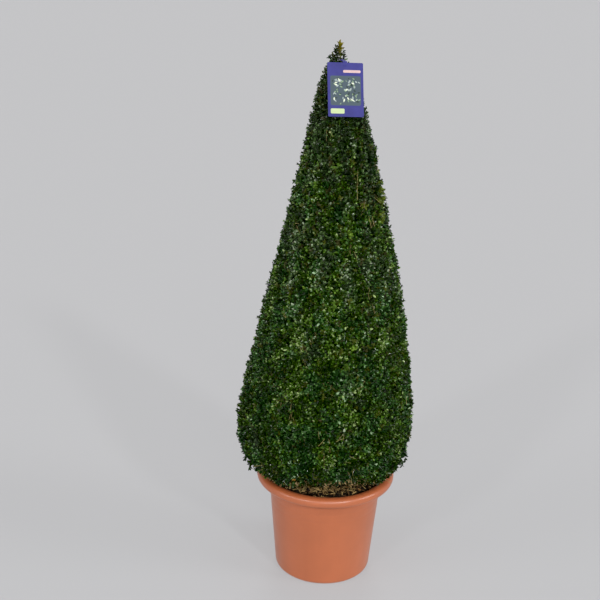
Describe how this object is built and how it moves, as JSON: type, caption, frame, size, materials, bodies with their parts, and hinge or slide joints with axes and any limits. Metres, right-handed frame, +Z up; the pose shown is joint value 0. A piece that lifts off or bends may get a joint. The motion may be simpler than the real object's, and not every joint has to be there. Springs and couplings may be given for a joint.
{
  "type": "boxwood cone topiary in a pot",
  "caption": "Tall clipped cone of small dark green evergreen leaves, growing in a round terracotta-coloured plastic pot with a rolled lip, with a hanging card label near its top.",
  "frame": {"origin": "centre of the pot's flat underside", "axes": "+Z up along the cone's height, -Y towards the front where the label hangs, +X to the right of someone facing the front"},
  "size_m": [0.5257, 0.524, 1.552],
  "materials": {
    "pot_plastic": "satin",
    "potting_soil": "matte",
    "bark": "matte",
    "leaves": "satin",
    "young_leaves": "satin",
    "label_card": "satin"
  },
  "bodies": {
    "root": {"pot": "pot_plastic", "soil": "potting_soil", "stem": "bark", "foliage": "leaves", "leader": "young_leaves", "label": "label_card"}
  },
  "joints": []
}
